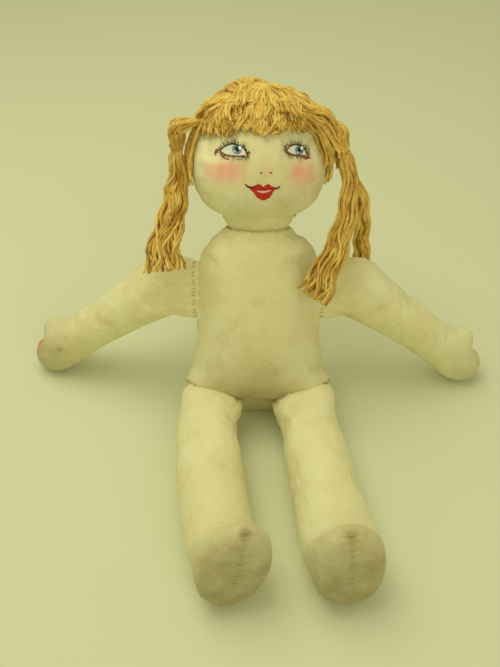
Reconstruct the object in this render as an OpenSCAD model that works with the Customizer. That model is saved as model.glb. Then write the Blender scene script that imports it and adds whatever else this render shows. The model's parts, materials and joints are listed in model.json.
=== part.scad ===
// Stuffed muslin rag doll with yarn hair, sitting and leaning back on its hands.
// Millimetres. +Z is up, the doll faces -Y, and left and right are as seen from the front, so left is -X.
// The origin is the middle of the flat patch of the seat that the doll sits on.
// Each stuffed member is a skin of muslin over a core of stuffing, both lofted through the same stations.

/* [Body] */
// Torso length, from the hip seams to the neck seam
torso_length = 165; // [125:1:210]
// Torso width at the belly
torso_width = 146; // [115:1:185]
// Torso depth at the belly
torso_depth = 76; // [60:1:95]
// Radius of the neck at its seam
neck_radius = 30; // [24:1:38]
// How far the torso leans back from upright, in degrees
torso_lean = 30; // [15:1:40]
// Thickness of the muslin
cloth = 0.8; // [0.5:0.1:1.5]

/* [Head] */
// Head width across the cheeks
head_width = 126; // [100:1:155]
// Head height, from the neck seam to the top of the skull
head_height = 118; // [95:1:145]
// Head depth, from nose to nape
head_depth = 99; // [80:1:122]
// How far the head leans back from upright, in degrees
head_lean = 27; // [10:1:40]

/* [Arms] */
// Arm length, from the shoulder seam to the tip of the mitten
arm_length = 212; // [175:1:270]
// Arm thickness above the wrist
arm_thickness = 46; // [36:1:56]
// How far back the left arm is swung from straight out, in degrees
left_arm_back = 21; // [5:1:30]
// How far back the right arm is swung from straight out, in degrees
right_arm_back = 17; // [5:1:30]

/* [Legs] */
// Leg length, from the hip seam to the sole at the heel
leg_length = 211; // [165:1:250]
// Leg thickness
leg_thickness = 61; // [50:1:74]
// Foot height, from the heel to the tip of the toe
foot_height = 88; // [74:1:106]
// How far the left leg points inwards, in degrees
left_leg_in = 6; // [0:1:8]
// How far the right leg points outwards, in degrees
right_leg_out = 9; // [0:1:14]
// How far the left toe leans in towards the other leg, in millimetres
left_toe_in = 22; // [0:1:26]

/* [Hair] */
// Thickness of the layer of yarn on the head
hair_depth = 7; // [5:0.5:10]
// Radius of a pigtail where it is tied
pigtail_radius = 8; // [6:0.5:10]

/* [Hidden] */
// clearance kept between pieces that move against each other
gap = 0.4;
// segments around a member, and around a round seam
around = 24;
$fn = 48;

function unit(v) = v / norm(v);
function mix(a, b, k) = a + (b - a) * k;

// torso frame: up along the torso, across it, and out of its front
hip_z = 31 * leg_thickness / 61;
torso_up = [0, sin(torso_lean), cos(torso_lean)];
torso_front = [0, -cos(torso_lean), sin(torso_lean)];
across = [1, 0, 0];
hip = [0, -3, hip_z];
// proportions of the torso against its drawn sizes
tl = torso_length / 165;
tw = torso_width / 146;
td = torso_depth / 76;
torso_frame = [hip, torso_up, across, torso_front];

// head frame: the neck turns and nods about the middle of a ball that sits in the top of the torso
neck_ball = neck_radius * 1.1;
ball_rise = neck_ball * 0.576;
neck_seat = hip + torso_up * torso_length;
pivot = neck_seat + torso_up * ball_rise;
head_up = [0, sin(head_lean), cos(head_lean)];
head_front = [0, -cos(head_lean), sin(head_lean)];
head_frame = [pivot, head_up, across, head_front];
hw = head_width / 2;
hf = head_depth * 0.515;
hb = head_depth * 0.485;

// a station is [front point, back point, half-width on the + side, half-width on the - side],
// its points given as [along the member, out of its front]; a fifth value shifts the sides along the member
function both(u, f, b, w) = [[u, f], [u, -b], w, w];

// ---- torso stations, from the hip seam up to the neck seam
torso_st = [
    [[0, 9.4], [-1.8, 7.2], 66 * tw, 66 * tw, 6],
    [[3, 22 * td], [-16, 1], 71 * tw, 71 * tw, 9],
    [[14 * tl, 34 * td], [-29, -14 * td], 73 * tw, 73 * tw, 10],
    [[25 * tl, 37.5 * td], [-28, -23 * td], 71 * tw, 71 * tw, 9],
    [[38 * tl, 38.5 * td], [-18, -34 * td], 68 * tw, 68 * tw, 5],
    [[56 * tl, 38 * td], [24 * tl, -38 * td], 64.5 * tw, 64.5 * tw, 2],
    [[78 * tl, 37.5 * td], [60 * tl, -38 * td], 60 * tw, 60 * tw],
    [[104 * tl, 37 * td], [98 * tl, -37 * td], 57.5 * tw, 57.5 * tw],
    [[126 * tl, 36 * td], [126 * tl, -36 * td], 57 * tw, 57 * tw],
    [[torso_length - 21, 35 * td], [torso_length - 19, -35 * td], 54.5 * tw, 54.5 * tw],
    [[torso_length - 12, 33.5 * td], [torso_length - 11, -34 * td], 47 * tw, 47 * tw],
    [[torso_length - 5, neck_radius + 1.5], [torso_length - 5, -neck_radius - 2], 36.5 * tw, 36.5 * tw],
    both(torso_length, neck_radius, neck_radius, neck_radius)
];
// the hollow in the top of the torso that the ball of the head sits in
bowl = neck_ball + gap;
bowl_edge = acos(ball_rise / bowl);
bowl_st = [
    for (k = [0 : 4])
        let (q = bowl_edge * (1 - k * 0.22))
            both(torso_length + ball_rise - bowl * cos(q), bowl * sin(q), bowl * sin(q), bowl * sin(q))
];

// ---- head stations, from the bottom of its ball up to the crown
function ball_st(q) = both(-neck_ball * cos(q), neck_ball * sin(q), neck_ball * sin(q), neck_ball * sin(q));
// a station of the skull: height as a part of the head height, then parts of the front, back and width
function skull(t, f, b, w) = both(head_height * t - ball_rise, hf * f, hb * b, hw * w);
head_st = [
    ball_st(14), ball_st(30), ball_st(48), ball_st(66), ball_st(84),
    skull(0.17, 0.81, 0.8, 0.7),
    skull(0.225, 0.91, 0.9, 0.84),
    skull(0.325, 0.975, 0.965, 0.935),
    skull(0.44, 1, 0.99, 0.99),
    skull(0.57, 1, 1, 0.99),
    skull(0.68, 0.96, 0.99, 0.935),
    skull(0.78, 0.88, 0.94, 0.855),
    skull(0.865, 0.73, 0.82, 0.71),
    skull(0.93, 0.545, 0.63, 0.53),
    skull(0.975, 0.32, 0.38, 0.31),
    skull(0.998, 0.08, 0.1, 0.08)
];

// ---- shoulders
seam_half = 31 * min(tl, arm_thickness / 46);
seam_bar = 1.5;
disc = seam_half;
web_reach = disc + gap + 2 + seam_bar;
shoulder_x = 60.4 * tw + seam_bar;
shoulder_up = 106 * tl;
shoulder_mid = hip + torso_up * shoulder_up;
// half-width of the hand that stands on the floor, and how far it is from the raise pivot
hand_half = 24 * arm_thickness / 46;
arm_free = arm_length - web_reach;
hand_reach = arm_free * 0.86;
function arm_back(s) = s < 0 ? left_arm_back : right_arm_back;
function back_fall(s) = sin(arm_back(s)) * sin(torso_lean);
function raise_z(s) = shoulder_mid[2] - web_reach * back_fall(s);
// the arm drops from straight out until its hand stands on the floor
function arm_drop(s) =
    asin((raise_z(s) - hand_half) / hand_reach / norm([back_fall(s), cos(torso_lean)]))
    - atan2(back_fall(s), cos(torso_lean));

// outward direction of the web at a shoulder, and the frame of the arm, for side s of -1 or 1
function web_out(s) = [s * cos(arm_back(s)), sin(arm_back(s)) * cos(torso_lean), -back_fall(s)];
function web_face(s) = s * cross(web_out(s), torso_up);
function seam_mid(s) = shoulder_mid + across * (s * shoulder_x);
function raise_mid(s) = seam_mid(s) + web_out(s) * web_reach;
function arm_along(s) = web_out(s) * cos(arm_drop(s)) - torso_up * sin(arm_drop(s));
function arm_side(s) = torso_up * cos(arm_drop(s)) + web_out(s) * sin(arm_drop(s));
function arm_frame(s) = [raise_mid(s), arm_along(s), arm_side(s), web_face(s)];

// ---- arm stations: round in plan about the raise pivot, thin at the seam, a mitten with a thumb at the far end
ak = arm_free / 184;
at = arm_thickness / 46;
function flat_st(u, t, up, down) = [[u, t], [u, -t], up, down];
// rounded inner end that turns about the pivot
function end_disc(q, t) = flat_st(-disc * cos(q), t, disc * sin(q), disc * sin(q));
arm_st = [
    end_disc(16, 1.6), end_disc(36, 5 * at), end_disc(56, 9.5 * at), end_disc(75, 14 * at),
    flat_st(4, 17.5 * at, disc, disc),
    flat_st(24 * ak, 21 * at, 27.5 * at, 28.5 * at),
    flat_st(56 * ak, 22 * at, 24.5 * at, 25 * at),
    flat_st(92 * ak, 21.5 * at, 23 * at, 23 * at),
    flat_st(118 * ak, 20 * at, 22 * at, 22.5 * at),
    flat_st(131 * ak, 19.5 * at, 24.5 * at, 23.5 * at),
    flat_st(141 * ak, 19 * at, 29.5 * at, 24.5 * at),
    flat_st(150 * ak, 18.5 * at, 30 * at, 25 * at),
    flat_st(157 * ak, 18 * at, 25 * at, 25 * at),
    flat_st(163 * ak, 17 * at, 19.5 * at, 24 * at),
    flat_st(172 * ak, 15 * at, 17.5 * at, 21.5 * at),
    flat_st(180 * ak, 10.5 * at, 12 * at, 15 * at),
    flat_st(184 * ak, 3.5 * at, 4 * at, 5 * at)
];

// ---- hips and legs
leg_half = leg_thickness / 2;
leg_disc = leg_half * 0.95;
leg_web = leg_disc + gap + 2 + seam_bar;
hip_x = max(43.5 * tw, leg_half + 8);
hip_y = -16.8;
// the wider the torso, the flatter its front and so the less its hip seams slant
hip_slant = 10 / tw;
function leg_turn(s) = s < 0 ? left_leg_in : right_leg_out;
// the hip seams slant back towards their outer ends
function hip_out(s) = [s * sin(hip_slant), -cos(hip_slant), 0];
function hip_line(s) = [cos(hip_slant), s * sin(hip_slant), 0];
function hip_mid(s) = [s * hip_x, hip_y, hip_z + 2];
function spread_mid(s) = hip_mid(s) + hip_out(s) * leg_web;
function leg_along(s) = [sin(leg_turn(s)), -cos(leg_turn(s)), 0];
function leg_across(s) = [cos(leg_turn(s)), sin(leg_turn(s)), 0];
// sideways lean of the foot, in mm for each mm of height
function toe_lean(s) = s < 0 ? left_toe_in / foot_height : 0;
function leg_frame(s) =
    [[spread_mid(s)[0], spread_mid(s)[1], 0], leg_along(s), leg_across(s), [0, 0, 1], toe_lean(s)];

// leg stations: pinched at the hip seam, then round, then the foot turned up with its sole facing forwards
lr = leg_length - leg_web;
lt = leg_thickness / 61;
ft = foot_height / 88;
function leg_end(q, t) = [[-leg_disc * cos(q), hip_z + 2 + t], [-leg_disc * cos(q), hip_z + 2 - t],
    leg_disc * sin(q), leg_disc * sin(q)];
function leg_ring(u, top, low, w) = [[u, top], [u, low], w, w];
leg_st = [
    leg_end(16, 1.6), leg_end(36, 6 * lt), leg_end(56, 12 * lt), leg_end(75, 18 * lt),
    leg_ring(4, hip_z + 23 * lt, hip_z - 23 * lt, 30 * lt),
    leg_ring(20, hip_z + 28 * lt, hip_z - 30 * lt, 31 * lt),
    leg_ring(lr * 0.24, 61.5 * lt, -0.5, 31 * lt),
    leg_ring(lr * 0.44, 60.5 * lt, -0.5, 30.5 * lt),
    leg_ring(lr * 0.62, 60 * lt, -0.5, 30.5 * lt),
    [[lr - 57, 61 * lt], [lr - 52, -0.5], 31 * lt, 31 * lt],
    [[lr - 47, 66 * ft], [lr - 40, -0.5], 31.5 * lt, 31.5 * lt],
    [[lr - 41, 76 * ft], [lr - 30, -0.5], 31 * lt, 31 * lt],
    [[lr - 36, 84 * ft], [lr - 20, -0.5], 31 * lt, 31 * lt],
    [[lr - 28, 88 * ft], [lr - 8, 1.5], 30 * lt, 30 * lt],
    [[lr - 20, 83 * ft], [lr - 1, 9 * ft], 27 * lt, 27 * lt],
    [[lr - 14.5, 71 * ft], [lr - 0.5, 21 * ft], 21.5 * lt, 21.5 * lt],
    [[lr - 10, 57 * ft], [lr - 3, 33 * ft], 13 * lt, 13 * lt],
    [[lr - 7.5, 48 * ft], [lr - 5.5, 42 * ft], 4 * lt, 4 * lt]
];

// ---- lofting
// direction of travel past station i, for a value picked out by p: 0 front, 1 back
function travel(st, i, p) = st[min(i + 1, len(st) - 1)][p] - st[max(i - 1, 0)][p];
function middle(s) = (s[0] + s[1]) / 2;
function mid_travel(st, i) = norm(middle(st[min(i + 1, len(st) - 1)]) - middle(st[max(i - 1, 0)]));
function wide_push(st, i, p, t) =
    let (a = mid_travel(st, i), b = travel(st, i, p)) t * a / sqrt(a * a + b * b);
function side_shift(s) = len(s) > 4 ? s[4] : 0;
// every station moved outwards by t, square to the surface
function grown(st, t) = [
    for (i = [0 : len(st) - 1])
        let (
            f = travel(st, i, 0),
            b = travel(st, i, 1),
            nf = norm(f) < 0.01 ? [0, 1] : [-f[1], f[0]] / norm(f),
            nb = norm(b) < 0.01 ? [0, -1] : [b[1], -b[0]] / norm(b)
        )
        [
            st[i][0] + nf * t,
            st[i][1] + nb * t,
            st[i][2] + wide_push(st, i, 2, t),
            st[i][3] + wide_push(st, i, 3, t),
            side_shift(st[i])
        ]
];
// how far a foot that is turned in leans sideways at p: the lean grows over the ankle
ankle = lr - 80;
ankle_length = 45;
function lean(fr, p) = len(fr) > 4 ? fr[4] * p[1] * max(0, min(1, (p[0] - ankle) / ankle_length)) : 0;
function ring_point(s, fr, q, low) =
    let (
        m = middle(s) + (s[0] - s[1]) / 2 * cos(q),
        w = sin(q) >= 0 ? s[2] : s[3],
        out = w * sin(q) + lean(fr, m),
        p = fr[0] + fr[1] * (m[0] + side_shift(s) * sin(q) * sin(q)) + fr[2] * out + fr[3] * m[1]
    )
    [p[0], p[1], max(p[2], low)];
function rings(st, fr, angles, low) = [for (s = st) for (q = angles) ring_point(s, fr, q, low)];
function turned(fr) = cross(fr[1], fr[2]) * fr[3] < 0;
function facing(list, flip) = flip ? [for (t = list) [t[2], t[1], t[0]]] : list;
function steps(from, to, n) = [for (k = [0 : n]) from + (to - from) * k / n];
function full_turn(n) = [for (k = [0 : n - 1]) 360 * k / n];

// triangles over a grid of n rows by m columns, closed round the columns or open
function net(n, m, base, closed) = [
    for (i = [0 : n - 2])
        for (j = [0 : (closed ? m - 1 : m - 2)])
            let (
                a = base + i * m + j,
                b = base + i * m + (j + 1) % m,
                c = base + (i + 1) * m + (j + 1) % m,
                d = base + (i + 1) * m + j
            )
            each [[a, b, c], [a, c, d]]
];

// solid core through all the stations
module core(st, fr, low) {
    n = len(st);
    m = around;
    pts = rings(st, fr, full_turn(m), low);
    ends = [ring_point([middle(st[0]), middle(st[0]), 0, 0], fr, 0, low),
        ring_point([middle(st[n - 1]), middle(st[n - 1]), 0, 0], fr, 0, low)];
    first = [for (j = [0 : m - 1]) [n * m, (j + 1) % m, j]];
    last = [for (j = [0 : m - 1]) [n * m + 1, (n - 1) * m + j, (n - 1) * m + (j + 1) % m]];
    polyhedron(concat(pts, ends), facing(concat(net(n, m, 0, true), first, last), !turned(fr)), 20);
}

// two triangles between the points a and b, and the points c and d beside them
function quad(a, b, c, d) = [[a, b, c], [b, d, c]];
// faces of a shell of n rows by m columns: its outer points come first, then its inner points, then its rims
function shell_faces(n, m, closed) =
    let (
        h = n * m,
        e = (n - 1) * m,
        z = m - 1,
        last_j = closed ? m - 1 : m - 2,
        first_rim = [for (j = [0 : last_j]) each quad(j, h + j, (j + 1) % m, h + (j + 1) % m)],
        last_rim = [for (j = [0 : last_j]) each quad(e + j, e + (j + 1) % m, h + e + j, h + e + (j + 1) % m)],
        near_side = [for (i = [0 : n - 2]) each quad(i * m, (i + 1) * m, h + i * m, h + (i + 1) * m)],
        far_side = [
            for (i = [0 : n - 2])
                each quad(i * m + z, h + i * m + z, (i + 1) * m + z, h + (i + 1) * m + z)
        ]
    )
    concat(
        net(n, m, 0, closed),
        facing(net(n, m, h, closed), true),
        first_rim,
        last_rim,
        closed ? [] : concat(near_side, far_side)
    );

// skin between the stations and the stations grown by t, over the angles given
module skin(inner_st, outer_st, fr, angles, closed, low_in, low_out) {
    pts = concat(rings(outer_st, fr, angles, low_out), rings(inner_st, fr, angles, low_in));
    polyhedron(pts, facing(shell_faces(len(inner_st), len(angles), closed), !turned(fr)), 20);
}

front_angles = steps(-90, 90, around / 2);
back_angles = steps(90, 270, around / 2);

// a soft tube through points, its outline lobed like a bundle of yarn and slowly twisted
function tube_dir(path, i) = unit(path[min(i + 1, len(path) - 1)] - path[max(i - 1, 0)]);
function lobed(path, radii, lobes, depth, m, twist) = [
    for (i = [0 : len(path) - 1])
        let (t = tube_dir(path, i), e = unit(cross(t, [0.31, -0.95, 0.05])), g = cross(t, e))
        for (j = [0 : m - 1])
            let (q = 360 * j / m, r = radii[i] * (1 + depth * cos(lobes * q + twist * i)))
            path[i] + (e * cos(q) + g * sin(q)) * r
];
module tube(path, radii, lobes, depth, m, twist) {
    n = len(path);
    pts = concat(lobed(path, radii, lobes, depth, m, twist), [path[0], path[n - 1]]);
    first = [for (j = [0 : m - 1]) [n * m, (j + 1) % m, j]];
    last = [for (j = [0 : m - 1]) [n * m + 1, (n - 1) * m + j, (n - 1) * m + (j + 1) % m]];
    polyhedron(pts, facing(concat(net(n, m, 0, true), first, last), true), 20);
}
// smooth curve through control points
function curve_at(p, k) =
    let (
        i = min(floor(k), len(p) - 2),
        f = k - i,
        a = p[max(i - 1, 0)],
        b = p[i],
        c = p[i + 1],
        d = p[min(i + 2, len(p) - 1)]
    )
    (b * 2 + (c - a) * f + (a * 2 - b * 5 + c * 4 - d) * f * f + (b * 3 - a - c * 3 + d) * f * f * f) / 2;
function curve(p, n) = [for (k = [0 : n]) curve_at(p, (len(p) - 1) * k / n)];

// ---- cloth pieces
muslin = [0.83, 0.79, 0.55];
wool = [0.75, 0.58, 0.24];
thread = [0.6, 0.55, 0.38];
fill_color = [0.9, 0.88, 0.8];

module torso_front_cover() {
    color(muslin) skin(grown(torso_st, -cloth), torso_st, torso_frame, front_angles, false, cloth, 0);
}
// the seat is cut flat where it rests on the floor
module torso_back_cover() {
    color(muslin) difference() {
        skin(grown(torso_st, -cloth), torso_st, torso_frame, back_angles, false, cloth, -0.3);
        translate([-200, -200, -20]) cube([400, 400, 20]);
    }
}
module torso_stuffing() {
    color(fill_color) core(concat(grown(torso_st, -cloth), bowl_st), torso_frame, cloth);
}

module head_front_cover() {
    color(muslin) skin(grown(head_st, -cloth), head_st, head_frame, front_angles, false, 0, 0);
}
module head_back_cover() {
    color(muslin) skin(grown(head_st, -cloth), head_st, head_frame, back_angles, false, 0, 0);
}
module head_stuffing() {
    color(fill_color) core(grown(head_st, -cloth), head_frame, 0);
}

// ring of whip stitches round the neck, lying on the top edge of the torso
neck_thread = 1.1;
neck_ring = sqrt(pow(neck_ball + 0.3 + neck_thread, 2) - pow(ball_rise - gap - neck_thread, 2));
module neck_seam() {
    color(thread) translate(neck_seat + torso_up * (gap + neck_thread)) rotate([-torso_lean, 0, 0])
        rotate_extrude($fn = 48) translate([neck_ring, 0]) circle(r = neck_thread, $fn = 12);
}

module arm_front(s) {
    color(muslin) skin(grown(arm_st, -cloth), arm_st, arm_frame(s), front_angles, false, cloth, 0);
}
module arm_back_panel(s) {
    color(muslin) skin(grown(arm_st, -cloth), arm_st, arm_frame(s), back_angles, false, cloth, 0);
}
module arm_core(s) {
    color(fill_color) core(grown(arm_st, -cloth), arm_frame(s), cloth);
}

// flattened and whip-stitched cloth of a limb's end: a rolled edge on the seam line, and a web hollowed
// round the limb's own end
module seam_web(half, radius, reach) {
    union() {
        rotate([90, 0, 0]) cylinder(r = seam_bar, h = 2 * half, center = true, $fn = 24);
        linear_extrude(2, center = true) difference() {
            translate([0, -half]) square([radius * 0.36, 2 * half]);
            translate([reach, 0]) circle(r = radius + gap, $fn = 72);
        }
    }
}
// places a web with its outward, seam and face directions
module place(o, x, y, z) {
    multmatrix([[x[0], y[0], z[0], o[0]], [x[1], y[1], z[1], o[1]], [x[2], y[2], z[2], o[2]], [0, 0, 0, 1]])
        children();
}
module shoulder_seam(s) {
    color(thread) place(seam_mid(s), web_out(s), torso_up, cross(web_out(s), torso_up))
        seam_web(seam_half, disc, web_reach);
}
module hip_seam(s) {
    color(thread) place(hip_mid(s), hip_out(s), hip_line(s), [0, 0, 1])
        seam_web(leg_disc, leg_disc, leg_web);
}

module leg_cover(s) {
    color(muslin) skin(grown(leg_st, -cloth), leg_st, leg_frame(s), full_turn(around), true, cloth, 0);
}
module leg_core(s) {
    color(fill_color) core(grown(leg_st, -cloth), leg_frame(s), cloth);
}
// closing stitches that run down the middle of the sole, just proud of the cloth
sole_thread = 0.9;
module sole_seam(s) {
    fr = leg_frame(s);
    raised = grown(leg_st, sole_thread + 0.05);
    n = len(leg_st);
    upper = [for (i = [n - 5 : n - 1]) raised[i][0]];
    lower = [for (i = [n - 1 : -1 : n - 4]) raised[i][1]];
    path = [for (p = concat(upper, lower)) fr[0] + fr[1] * p[0] + fr[2] * lean(fr, p) + fr[3] * p[1]];
    smooth = curve(path, 20);
    color(thread) tube(smooth, [for (p = smooth) sole_thread], 1, 0, 8, 0);
}

// ---- hair
// part of the head covered by yarn: stations first to last, grown and ridged by the strands
// draws the angles of a station in towards the back of the head
function drawn(q, k) = 180 + (q - 180) * k;
module yarn_layer(list, angles, closed, depth, narrow = []) {
    n = len(list);
    m = len(angles);
    under = grown(list, 0.25);
    over = grown(list, depth);
    function at_angle(i, j) = len(narrow) > 0 ? drawn(angles[j], narrow[i]) : angles[j];
    inner = [for (i = [0 : n - 1]) for (j = [0 : m - 1]) ring_point(under[i], head_frame, at_angle(i, j), 0)];
    crest = [for (i = [0 : n - 1]) for (j = [0 : m - 1]) ring_point(over[i], head_frame, at_angle(i, j), 0)];
    outer = [for (k = [0 : n * m - 1]) mix(inner[k], crest[k], (k % m) % 2 == 0 ? 1 : 0.72)];
    polyhedron(concat(outer, inner), facing(shell_faces(n, m, closed), !turned(head_frame)), 20);
}
fringe_st = [
    skull(0.705, 0.94, 0.978, 0.915),
    skull(0.78, 0.88, 0.94, 0.855),
    skull(0.865, 0.73, 0.82, 0.71)
];
crown_st = [
    skull(0.872, 0.71, 0.8, 0.69),
    skull(0.93, 0.545, 0.63, 0.53),
    skull(0.975, 0.32, 0.38, 0.31),
    skull(0.997, 0.11, 0.13, 0.11)
];
// the back hair hangs straight down from the back of the head, clear of the neck
back_st = [
    skull(0.06, 0.9, 0.95, 0.86),
    skull(0.14, 0.95, 0.98, 0.92),
    skull(0.225, 0.96, 0.99, 0.94),
    skull(0.325, 0.98, 1, 0.975),
    skull(0.44, 1.005, 1.005, 1.005),
    skull(0.57, 1.005, 1.01, 1.005),
    skull(0.68, 0.965, 0.995, 0.94),
    skull(0.78, 0.885, 0.945, 0.86),
    skull(0.865, 0.735, 0.825, 0.715)
];
back_narrow = [0.58, 0.62, 0.68, 0.78, 0.9, 1, 1, 1, 1];
module fringe_yarn() {
    color(wool) yarn_layer(fringe_st, steps(-80, 80, 40), false, hair_depth * 0.9);
}
module crown_yarn() {
    color(wool) yarn_layer(crown_st, full_turn(56), true, hair_depth * 1.9);
}
module back_hair_yarn() {
    color(wool) yarn_layer(back_st, steps(84, 276, 44), false, hair_depth, back_narrow);
}

// pigtails: each hangs from a tie at the side of the head, and its lower end lies near the shoulder
function on_head(x, up, out) =
    pivot + across * (x * hw) + head_up * (up * head_height) + head_front * (out * hf);
function near_shoulder(s, x, up, out) =
    shoulder_mid + across * (s * (shoulder_x + x)) + torso_up * up + torso_front * out;
left_path = [
    on_head(-1.18, 0.61, 0.36),
    on_head(-1.21, 0.46, 0.29),
    on_head(-1.235, 0.19, 0.27),
    on_head(-1.27, -0.03, 0.42),
    near_shoulder(-1, 22, 45, 31),
    near_shoulder(-1, 20, 20, 38)
];
front_path = [
    on_head(1.17, 0.59, 0.34),
    on_head(1.27, 0.32, 0.3),
    on_head(1.3, 0.05, 0.43),
    near_shoulder(1, 16, 43, 29),
    near_shoulder(1, 4, 18, 35),
    near_shoulder(1, -12, -4, 38)
];
rear_path = [
    on_head(1.33, 0.37, -0.1),
    on_head(1.52, 0.1, -0.2),
    on_head(1.62, -0.14, -0.36),
    near_shoulder(1, 45, 10, -50),
    near_shoulder(1, 45, -10, -52)
];
module lock(path, r0, r1) {
    way = curve(path, 18);
    radii = [for (k = [0 : 18]) r0 + (r1 - r0) * pow(k / 18, 1.4)];
    color(wool) tube(way, radii, 6, 0.1, 24, 13);
}
module tie(path, r) {
    way = curve(path, 18);
    at_ring = way[2];
    d = tube_dir(way, 2);
    e = unit(cross(d, [0.31, -0.95, 0.05]));
    color(thread) place(at_ring, e, cross(d, e), d)
        rotate_extrude($fn = 36) translate([r, 0]) circle(r = 1, $fn = 10);
}
module left_pigtail_yarn() { lock(left_path, pigtail_radius, pigtail_radius * 2.3); }
module left_pigtail_tie() { tie(left_path, pigtail_radius * 1.15 + 1.4); }
module right_front_lock() { lock(front_path, pigtail_radius * 0.9, pigtail_radius * 1.7); }
module right_front_tie() { tie(front_path, pigtail_radius * 1.03 + 1.4); }
module right_rear_lock() { lock(rear_path, pigtail_radius * 0.75, pigtail_radius * 1.15); }
module right_rear_tie() { tie(rear_path, pigtail_radius * 0.87 + 1.4); }

module left_arm_front_cover() { arm_front(-1); }
module left_arm_back_cover() { arm_back_panel(-1); }
module left_arm_stuffing() { arm_core(-1); }
module right_arm_front_cover() { arm_front(1); }
module right_arm_back_cover() { arm_back_panel(1); }
module right_arm_stuffing() { arm_core(1); }
module left_shoulder_seam() { shoulder_seam(-1); }
module right_shoulder_seam() { shoulder_seam(1); }
module left_hip_seam() { hip_seam(-1); }
module right_hip_seam() { hip_seam(1); }
module left_leg_cover() { leg_cover(-1); }
module right_leg_cover() { leg_cover(1); }
module left_leg_stuffing() { leg_core(-1); }
module right_leg_stuffing() { leg_core(1); }
module left_sole_seam() { sole_seam(-1); }
module right_sole_seam() { sole_seam(1); }

torso_front_cover();
torso_back_cover();
torso_stuffing();
neck_seam();
head_front_cover();
head_back_cover();
head_stuffing();
fringe_yarn();
crown_yarn();
back_hair_yarn();
left_pigtail_yarn();
left_pigtail_tie();
right_front_lock();
right_front_tie();
right_rear_lock();
right_rear_tie();
left_shoulder_seam();
left_arm_front_cover();
left_arm_back_cover();
left_arm_stuffing();
right_shoulder_seam();
right_arm_front_cover();
right_arm_back_cover();
right_arm_stuffing();
left_hip_seam();
left_leg_cover();
left_leg_stuffing();
left_sole_seam();
right_hip_seam();
right_leg_cover();
right_leg_stuffing();
right_sole_seam();
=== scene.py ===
import json
import math
import random

import bmesh
import bpy
import numpy as np
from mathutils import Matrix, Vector, noise
from mathutils.bvhtree import BVHTree


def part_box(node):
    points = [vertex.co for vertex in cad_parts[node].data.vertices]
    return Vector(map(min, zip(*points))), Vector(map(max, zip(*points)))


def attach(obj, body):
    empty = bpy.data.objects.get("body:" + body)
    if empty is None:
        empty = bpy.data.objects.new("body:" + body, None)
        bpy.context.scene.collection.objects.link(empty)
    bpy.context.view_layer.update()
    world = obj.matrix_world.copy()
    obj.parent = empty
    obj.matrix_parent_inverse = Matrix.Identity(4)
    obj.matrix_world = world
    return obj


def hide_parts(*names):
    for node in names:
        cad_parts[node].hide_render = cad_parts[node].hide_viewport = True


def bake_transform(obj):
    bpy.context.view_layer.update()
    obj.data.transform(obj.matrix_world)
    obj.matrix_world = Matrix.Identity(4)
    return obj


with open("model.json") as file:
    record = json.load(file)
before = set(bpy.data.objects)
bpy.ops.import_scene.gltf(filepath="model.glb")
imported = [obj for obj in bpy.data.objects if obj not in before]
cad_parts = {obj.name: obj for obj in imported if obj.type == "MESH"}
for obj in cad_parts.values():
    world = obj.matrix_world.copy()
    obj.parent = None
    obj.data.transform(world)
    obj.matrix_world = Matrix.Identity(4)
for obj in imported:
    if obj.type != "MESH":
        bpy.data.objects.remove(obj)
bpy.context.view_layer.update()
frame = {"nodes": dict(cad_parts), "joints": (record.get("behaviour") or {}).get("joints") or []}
mm = 0.001
full_turn = 2 * math.pi

# ---------------------------------------------------------------- the doll's frame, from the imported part
joints = {j["name"]: j for j in frame["joints"]}


def place(joint):
    """Where a joint is, in metres."""
    return Vector(joints[joint]["pos_m"])


across = Vector((1, 0, 0))
torso_up = Vector(joints["neck_turn"]["axis"])
torso_front = torso_up.cross(across) * -1
head_lean = math.radians(27)
head_up = Vector((0, math.sin(head_lean), math.cos(head_lean)))
head_front = Vector((0, -math.cos(head_lean), math.sin(head_lean)))
neck_pivot = place("head_nod")
# the neck seam lies this far under the neck's pivot
neck_drop = 19 * mm
neck_seam_mid = neck_pivot - torso_up * neck_drop
head_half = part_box("head_front_cover")[1].x / 0.99
head_height = 118 * mm
head_front_depth = 51 * mm
# middle of the skull, from which the hair and the face are laid out
skull_mid = neck_pivot + head_up * (66 * mm - neck_drop)
shoulder_mid = (place("left_shoulder_swing") + place("right_shoulder_swing")) / 2
shoulder_half = (place("right_shoulder_swing") - place("left_shoulder_swing")).length / 2
sides = {"left": -1, "right": 1}


# ---------------------------------------------------------------- materials
def colour(code):
    """An sRGB hex colour as linear RGBA."""
    parts = [int(code[i : i + 2], 16) / 255 for i in (0, 2, 4)]
    return (*[c / 12.92 if c <= 0.04045 else ((c + 0.055) / 1.055) ** 2.4 for c in parts], 1)


# the output that a kind of node is used for
main_output = {
    "Attribute": "Vector", "BsdfPrincipled": "BSDF", "Bump": "Normal", "MapRange": "Result",
    "Mapping": "Vector", "Math": "Value", "Mix": "Result", "TexNoise": "Fac", "TexWave": "Fac",
    "ValToRGB": "Color", "VectorMath": "Vector",
}


def add(tree, kind, inputs=None, output=None, **settings):
    """Adds one node with its settings and inputs, which are values, or sockets to link. Gives its output."""
    node = tree.nodes.new("ShaderNode" + kind)
    for name, value in settings.items():
        setattr(node, name, value)
    for name, value in (inputs or {}).items():
        if isinstance(value, bpy.types.NodeSocket):
            tree.links.new(value, node.inputs[name])
        else:
            node.inputs[name].default_value = value
    output = output or main_output.get(kind)
    return node.outputs[output] if output else None


def stops(ramp, *points):
    """Sets the stops of the colour ramp behind a socket, each (position, colour)."""
    elements = ramp.node.color_ramp.elements
    for point in points[2:]:
        elements.new(point[0])
    for element, point in zip(elements, points):
        element.position, element.color = point
    return ramp


def new_material(name):
    """An empty node material and its tree."""
    material = bpy.data.materials.new(name)
    material.use_nodes = True
    material.node_tree.nodes.clear()
    return material, material.node_tree


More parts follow.
